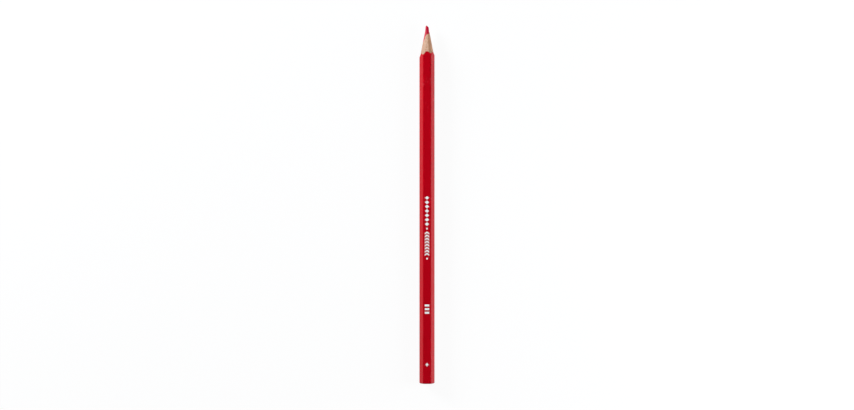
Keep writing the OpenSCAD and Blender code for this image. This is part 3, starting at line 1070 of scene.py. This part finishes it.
# %% A tree for rows of foil marks
STAMP_INPUTS = {
    "Mark": "Object",
    "Count": "Int",
    "First": "Vector",
    "Pitch": "Vector",
    "Thickness": "Float",
    "Top share": "Float",
    "Material": "Material",
}
stamp_tree, given, stamp_sockets = start_tree("row_of_foil_marks", STAMP_INPUTS, "Marks")
tree = stamp_tree
mark = add(tree, "GeometryNodeObjectInfo", {"Object": given["Mark"]}).outputs["Geometry"]
raised = add(tree, "GeometryNodeExtrudeMesh",
             {"Mesh": mark, "Offset": (0, 0, 1), "Offset Scale": given["Thickness"], "Individual": False})
drawn_in = add(tree, "GeometryNodeScaleElements",
               {"Geometry": raised, "Selection": raised.outputs["Top"], "Scale": given["Top share"]})
underside = add(tree, "GeometryNodeFlipFaces", {"Mesh": mark})
whole = add(tree, "GeometryNodeJoinGeometry")
for part in (drawn_in, underside):
    tree.links.new(part.outputs[0], whole.inputs[0])
welded = add(tree, "GeometryNodeMergeByDistance", {"Geometry": whole, "Distance": WELD})
line = add(tree, "GeometryNodeMeshLine",
           {"Count": given["Count"], "Start Location": given["First"], "Offset": given["Pitch"]})
copies = add(tree, "GeometryNodeInstanceOnPoints", {"Points": line, "Instance": welded})
realized = add(tree, "GeometryNodeRealizeInstances", {"Geometry": copies})
painted = add(tree, "GeometryNodeSetMaterial", {"Geometry": realized, "Material": given["Material"]})
add(tree, "NodeGroupOutput", {0: painted})
print(tree.name, len(tree.nodes), "nodes")

# %% White pigment foil material


def pigment_foil(name, white, thin):
    """Hot-stamped foil. To the eye: a satin white film, with small patches where the red shows through."""
    material, tree, place_mm = start_material(name)
    # The foil is thinner in patches 0.4 mm wide.
    patches = add(tree, NOISE, {"Vector": place_mm, "Scale": 1 / 0.4, "Detail": 4.0})
    some = add(tree, MAP_RANGE, {"Value": patches, "From Min": 0.58, "From Max": 0.8, "To Max": 0.6})
    colour = add(tree, MIX, {MIX_SHARE: some, MIX_A: linear(white), MIX_B: linear(thin)},
                 data_type="RGBA").outputs[MIX_RESULT]
    bump = add(tree, BUMP, {"Height": patches, "Strength": 0.2, "Distance": 0.01 * MM})
    shader = add(tree, PRINCIPLED, {"Base Color": colour, "Roughness": 0.35, "Normal": bump, "IOR": 1.5})
    add(tree, OUTPUT, {"Surface": shader})
    return material


white_foil = pigment_foil("white_pigment_foil", white="#E6EEF0", thin="#D8A8AC")
print(white_foil.name, len(white_foil.node_tree.nodes), "nodes")

# %% Shapes of the marks
FOIL_W = 2.2
LOZENGE_H = 1.8
CHEVRON_T = 0.75
CHEVRON_RISE = 0.8
DOT_D = 0.9
DOT_SIDES = 28
BAR_T = 1.0
STAR_WAIST = 0.9
STAR_POINTS = 4
half_w = FOIL_W / 2

lozenge = [(0, LOZENGE_H / 2), (-half_w, 0), (0, -LOZENGE_H / 2), (half_w, 0)]
chevron = [(0, 0), (-half_w, -CHEVRON_RISE), (-half_w, -CHEVRON_RISE - CHEVRON_T), (0, -CHEVRON_T),
           (half_w, -CHEVRON_RISE - CHEVRON_T), (half_w, -CHEVRON_RISE)]
bar = [(half_w, BAR_T / 2), (-half_w, BAR_T / 2), (-half_w, -BAR_T / 2), (half_w, -BAR_T / 2)]
dot = []
for i in range(DOT_SIDES):
    turn = 2 * math.pi * i / DOT_SIDES
    dot.append((DOT_D / 2 * math.cos(turn), DOT_D / 2 * math.sin(turn)))
star = []
for i in range(2 * STAR_POINTS):
    radius = half_w if i % 2 == 0 else STAR_WAIST / 2
    turn = math.pi / 2 + math.pi / STAR_POINTS * i
    star.append((radius * math.cos(turn), radius * math.sin(turn)))
print("corners:", [len(shape) for shape in (lozenge, chevron, dot, bar, star)])

# %% Foil marks
FOIL_T = 0.03
TOP_SHARE = 0.97

# Each row: its mark, how many, the height of the first and the step to the next in mm, and its CAD node.
STAMP_ROWS = {
    "foil_lozenge_row": (lozenge, 7, 91.8, -2.15, "foil_lozenges"),
    "foil_chevron_row": (chevron, 8, 75.3, -1.5, "foil_chevrons"),
    "foil_dot_pair": (dot, 2, 76.65, -14.75, "foil_dots"),
    "foil_bar_row": (bar, 3, 35.2, 1.8, "foil_bars"),
    "foil_star_mark": (star, 1, 9.6, 0, "foil_star"),
}
for name, (shape, number, first, pitch, node) in STAMP_ROWS.items():
    mark_mesh = bpy.data.meshes.new(name)
    mark_mesh.from_pydata([(MM * x, MM * y, 0) for x, y in shape], [], [list(range(len(shape)))])
    mesh = grow(stamp_tree, stamp_sockets, {
        "Mark": bpy.data.objects.new(name + "_shape", mark_mesh),
        "Count": number,
        "First": (0.0, MM * (first - LENGTH / 2), MM * FINISHED_FLATS),
        "Pitch": (0.0, MM * pitch, 0.0),
        "Thickness": MM * FOIL_T,
        "Top share": TOP_SHARE,
        "Material": white_foil,
    })
    finish_piece(name, mesh, "white_foil", node)
    low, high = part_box(node)
    lowest = min(vertex.co.y for vertex in mesh.vertices)
    print(name, "starts", round((lowest - low.y) / MM, 3), "mm from its CAD node")
